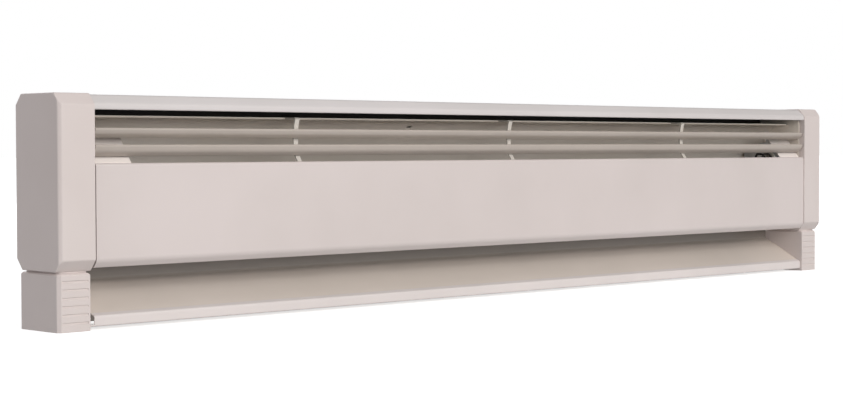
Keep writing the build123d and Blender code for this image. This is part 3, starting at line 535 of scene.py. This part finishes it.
def tray_sheet():
    """Inlet tray: a lip that is short at the left, a ramp, and a rear flange notched at its ends."""
    low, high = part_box("inlet_tray")
    flange_depth, flange_run = TRAY_FLANGE
    ramp_y = high.y - flange_depth
    flange_y = ramp_y + flange_run
    points = [
        (low.y + TRAY_RETURN, low.z),
        (low.y, low.z),
        (low.y, low.z + TRAY_LIP),
        (low.y + TRAY_SHOULDER[0], low.z + TRAY_SHOULDER[1]),
        (low.y + TRAY_BREAK[0], low.z + TRAY_BREAK[1]),
        (ramp_y, low.z + TRAY_RAMP_TOP),
        (ramp_y, low.z + TRAY_STEP),
        (flange_y, low.z + TRAY_STEP),
        (flange_y, low.z + TRAY_TOP),
    ]
    radii = [r * MM for r in (1.5, 2.6, 2.6, 30.0, 3.0, 1.6, 1.6)]
    cutters = []
    notch_width, notch_bottom = NOTCH
    for end_x, inward in ((low.x, 1), (high.x, -1)):
        notch_low = (end_x - inward * SHEET, 0.0, low.z + notch_bottom)
        notch_high = (end_x + inward * notch_width, high.y + SHEET, high.z + SHEET)
        cutters.append(box_mesh("notch_cutter", notch_low, notch_high))
    gap_width, gap_depth = LIP_GAP
    gap_bottom, gap_top = LIP_GAP_HEIGHTS
    gap_low = (low.x - SHEET, low.y - SHEET, low.z + gap_bottom)
    gap_high = (low.x + gap_width, low.y + gap_depth, low.z + gap_top)
    cutters.append(box_mesh("gap_cutter", gap_low, gap_high))
    # The tray takes the copy with painted bounce light and painted shade.
    piece = sheet_piece("tray_sheet", "inlet_tray", points, radii, -SHEET, TRAY_BOUNCE_LIGHT_AND_SHADE, "painted_steel",
                        cutters=cutters)
    # The front of the lip takes the lighter copy: painted light.
    paint_faces(piece, LIP_PAINTED_LIGHT, lambda face: face.center.y < low.y + TRAY_LIP_LIGHT_DEPTH)


# ---------------------------------------------------------------- end caps

def cap_ends(side, sign):
    """The cap's CAD box, and its inner and outer X."""
    low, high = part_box("end_cap_" + side)
    return (low, high, low.x, high.x) if sign > 0 else (low, high, high.x, low.x)


def lies_at(edge, axis, value):
    """True for an edge that lies in the plane where one coordinate has a value."""
    return all(abs(vert.co[axis] - value) < TINY for vert in edge.verts)


def chamfer(shape, edges, width, segments=1):
    """Cut off some edges of a bmesh, rounded if there are several segments."""
    bmesh.ops.bevel(shape, geom=edges, offset=width, segments=segments, profile=0.5, affect="EDGES")


def cap_shell(side, sign):
    """Moulded cap: a chamfered block, hollow inside, open towards the clips."""
    low, high, inner_x, outer_x = cap_ends(side, sign)
    base_z = low.z + CAP_BASE

    def outline(inset):
        """The block's outline moved in, with its chamfers a little smaller."""
        cut_y, cut_z = (cut - inset * CAP_SHRINK for cut in CAP_CHAMFER)
        front, rear = low.y + inset, high.y - inset
        bottom, top = base_z + inset, high.z - inset
        return [
            (front, bottom + cut_z), (front, top - cut_z), (front + cut_y, top), (rear - cut_y, top),
            (rear, top - cut_z), (rear, bottom + cut_z), (rear - cut_y, bottom), (front + cut_y, bottom),
        ]

    mesh = prism("cap_shell_" + side, outline(0.0), inner_x, outer_x)
    shape = bmesh.new()
    shape.from_mesh(mesh)
    upright = [e for e in shape.edges if lies_at(e, 0, outer_x) and lies_at(e, 1, low.y)]
    chamfer(shape, upright, CAP_CORNER)
    outer = [e for e in shape.edges if not lies_at(e, 0, inner_x)]
    chamfer(shape, outer, CAP_ROUND, 3)
    shape.to_mesh(mesh)
    shape.free()
    node = "end_cap_" + side
    piece = add_piece("cap_shell_" + side, mesh, CAP_PLASTIC, node, "cap_plastic", node)
    web = sign * CAP_WEB
    hollow = prism("hollow_cutter", outline(CAP_WALL), inner_x + web, outer_x - sign * CAP_WALL)
    opening_bottom, opening_top = (low.z + height for height in CAP_OPENING_HEIGHTS)
    opening_low = (inner_x - web, -CAP_OPENING_HALF, opening_bottom)
    opening_high = (inner_x + 2 * web, CAP_OPENING_HALF, opening_top)
    carve(piece, hollow, box_mesh("opening_cutter", opening_low, opening_high))
    soften(piece, CAP_EDGE, 60.0)


def cap_foot(side, sign):
    """Foot of the cap, with horizontal grooves across its front."""
    low, high, inner_x, outer_x = cap_ends(side, sign)
    node = "end_cap_" + side
    inner_x += sign * FOOT_SIDES[0]
    outer_x -= sign * FOOT_SIDES[1]
    front, rear = low.y + FOOT_ENDS[0], high.y - FOOT_ENDS[1]
    top = low.z + FOOT_TOP
    mesh = box_mesh("cap_foot_" + side, (inner_x, front, low.z), (outer_x, rear, top))
    shape = bmesh.new()
    shape.from_mesh(mesh)
    corner = [e for e in shape.edges if lies_at(e, 0, outer_x) and lies_at(e, 1, front)]
    chamfer(shape, corner, CAP_CORNER)
    rim = [e for e in shape.edges if lies_at(e, 2, top)]
    chamfer(shape, rim, FOOT_RIM)
    shape.to_mesh(mesh)
    shape.free()
    piece = add_piece("cap_foot_" + side, mesh, CAP_PLASTIC, node, "cap_plastic", node)
    grooves = []
    for index in range(GROOVES):
        z = low.z + GROOVE_FIRST + index * GROOVE_PITCH
        groove_low = (inner_x + sign * GROOVE_SIDES[0], front - 2 * GROOVE_HALF, z - GROOVE_HALF)
        groove_high = (outer_x - sign * GROOVE_SIDES[1], front + GROOVE_HALF, z + GROOVE_HALF)
        grooves.append(box_mesh("groove_cutter", groove_low, groove_high))
    carve(piece, *grooves)
    soften(piece, FOOT_EDGE, 25.0)


def cap_neck(side, sign):
    """Short waist between the cap's block and its foot."""
    low, high, inner_x, outer_x = cap_ends(side, sign)
    node = "end_cap_" + side
    neck_low = (inner_x + sign * NECK_SIDES[0], low.y + NECK_ENDS[0], low.z + NECK_HEIGHTS[0])
    neck_high = (outer_x - sign * NECK_SIDES[1], high.y - NECK_ENDS[1], low.z + NECK_HEIGHTS[1])
    mesh = box_mesh("cap_neck_" + side, neck_low, neck_high)
    add_piece("cap_neck_" + side, mesh, CAP_PLASTIC, node, "cap_plastic", node)


# ---------------------------------------------------------------- CAD nodes that show as they are

def dress_cad_nodes():
    """Give each CAD node its material and, except on the many thin fins, rounded edges."""
    slots = {entry["node"]: entry["material_slot"] for entry in frame["record"]["subparts"]}
    for name, node in frame["nodes"].items():
        material = CAD_MATERIALS[slots[name]]
        # The brackets' ribs take a darker copy of the paint: painted shade.
        if name.startswith("support_bracket"):
            material = RIB_SHADE_PAINT
        # The wiring covers take a lighter copy of the paint: painted light.
        if name.startswith("wiring_cover"):
            material = COVER_LIT_PAINT
        node.data.materials.clear()
        node.data.materials.append(material)
        if not name.startswith("fin_section"):
            soften(node, CAD_EDGE, 40.0, weld=True)


# ---------------------------------------------------------------- floor, light and camera

def stage_material():
    """White that takes soft shadows beside the heater and glows evenly white further away."""
    material, nodes, links = new_material("floor_white")
    shader = nodes["Principled BSDF"]
    shader.inputs["Base Color"].default_value = (0.86, 0.86, 0.86, 1.0)
    shader.inputs["Roughness"].default_value = 0.9
    shader.inputs["Specular IOR Level"].default_value = 0.0
    shader.inputs["Emission Color"].default_value = (1.0, 1.0, 1.0, 1.0)
    place = nodes.new("ShaderNodeTexCoord")
    distance = nodes.new("ShaderNodeVectorMath")
    distance.operation = "LENGTH"
    glow = nodes.new("ShaderNodeMapRange")
    glow.inputs["From Min"].default_value, glow.inputs["From Max"].default_value = GLOW_DISTANCES
    glow.inputs["To Min"].default_value, glow.inputs["To Max"].default_value = GLOW_STRENGTHS
    links.new(place.outputs["Object"], distance.inputs[0])
    links.new(distance.outputs["Value"], glow.inputs["Value"])
    links.new(glow.outputs["Result"], shader.inputs["Emission Strength"])
    return material


def studio():
    """A pale seamless floor."""
    mesh = bpy.data.meshes.new("floor")
    shape = bmesh.new()
    bmesh.ops.create_grid(shape, x_segments=1, y_segments=1, size=FLOOR_HALF)
    shape.to_mesh(mesh)
    shape.free()
    floor = bpy.data.objects.new("floor", mesh)
    bpy.context.scene.collection.objects.link(floor)
    floor.location.z = CAD_BOX[0][2]
    floor.visible_diffuse = False
    mesh.materials.append(stage_material())


def area_light(name, place, target, size, power, colour):
    """A soft rectangular light that faces a target."""
    data = bpy.data.lights.new(name, "AREA")
    data.shape = "RECTANGLE"
    data.size, data.size_y = size
    data.energy = power
    data.color = colour
    light = bpy.data.objects.new(name, data)
    bpy.context.scene.collection.objects.link(light)
    light.location = place
    light.rotation_euler = (Vector(target) - Vector(place)).to_track_quat("-Z", "Y").to_euler()


def lighting():
    """A white backdrop that lights the heater less than it shows, and five softboxes."""
    world = bpy.data.worlds.new("studio_world")
    bpy.context.scene.world = world
    world.use_nodes = True
    nodes, links = world.node_tree.nodes, world.node_tree.links
    soft = nodes["Background"]
    soft.inputs["Color"].default_value = (1.0, 1.0, 1.0, 1.0)
    soft.inputs["Strength"].default_value = BACKDROP_LIGHT
    seen = nodes.new("ShaderNodeBackground")
    seen.inputs["Color"].default_value = (1.0, 1.0, 1.0, 1.0)
    seen.inputs["Strength"].default_value = BACKDROP_SEEN
    ray = nodes.new("ShaderNodeLightPath")
    mix = nodes.new("ShaderNodeMixShader")
    links.new(ray.outputs["Is Camera Ray"], mix.inputs["Fac"])
    links.new(soft.outputs["Background"], mix.inputs[1])
    links.new(seen.outputs["Background"], mix.inputs[2])
    links.new(mix.outputs["Shader"], nodes["World Output"].inputs["Surface"])
    area_light("softbox_key", (0.0, -2.85, 1.30), (0.0, 0.0, 0.1), (3.2, 1.5), 61.0, (1.0, 0.985, 0.97))
    area_light("softbox_low", (-0.5, -3.0, 0.38), (0.0, 0.0, 0.15), (2.6, 0.4), 16.0, (1.0, 0.98, 0.95))
    area_light("softbox_top", (0.2, -0.4, 2.4), (0.0, 0.0, 0.0), (3.2, 1.6), 5.0, (0.97, 0.99, 1.0))
    area_light("softbox_back", (0.0, 2.9, 1.5), (0.0, 0.0, 0.1), (3.0, 1.5), 26.0, (1.0, 1.0, 1.0))
    area_light("softbox_side", (-3.0, -0.2, 0.9), (-0.6, 0.0, 0.1), (1.6, 1.6), 13.2, (0.99, 0.967, 1.0))


def camera():
    """The view from the room, low and to the left of the heater."""
    data = bpy.data.cameras.new("camera")
    data.sensor_width = 36.0
    data.lens = CAMERA_LENS
    data.clip_end = 200.0
    view = bpy.data.objects.new("camera", data)
    bpy.context.scene.collection.objects.link(view)
    yaw, pitch, roll = (math.radians(angle) for angle in CAMERA_ANGLES)
    forward = Vector((math.sin(yaw) * math.cos(pitch), math.cos(yaw) * math.cos(pitch), math.sin(pitch)))
    right = Vector((math.cos(yaw), -math.sin(yaw), 0.0))
    up = right.cross(forward)
    tilted_right = right * math.cos(roll) + up * math.sin(roll)
    tilted_up = up * math.cos(roll) - right * math.sin(roll)
    turn = Matrix((tilted_right, tilted_up, -forward)).transposed()
    view.matrix_world = Matrix.Translation(CAMERA_PLACE) @ turn.to_4x4()
    bpy.context.scene.camera = view


# ---------------------------------------------------------------- the heater, on its stage

dress_cad_nodes()
rail_cover()
front_cover()
louver("upper_blade", "louver_blade_upper")
louver("lower_blade", "louver_blade_lower")
deflector_sheet()
tray_sheet()
for side, sign in (("left", -1), ("right", 1)):
    cap_shell(side, sign)
    cap_foot(side, sign)
    cap_neck(side, sign)
studio()
lighting()
camera()
bpy.context.scene.view_settings.view_transform = "Standard"
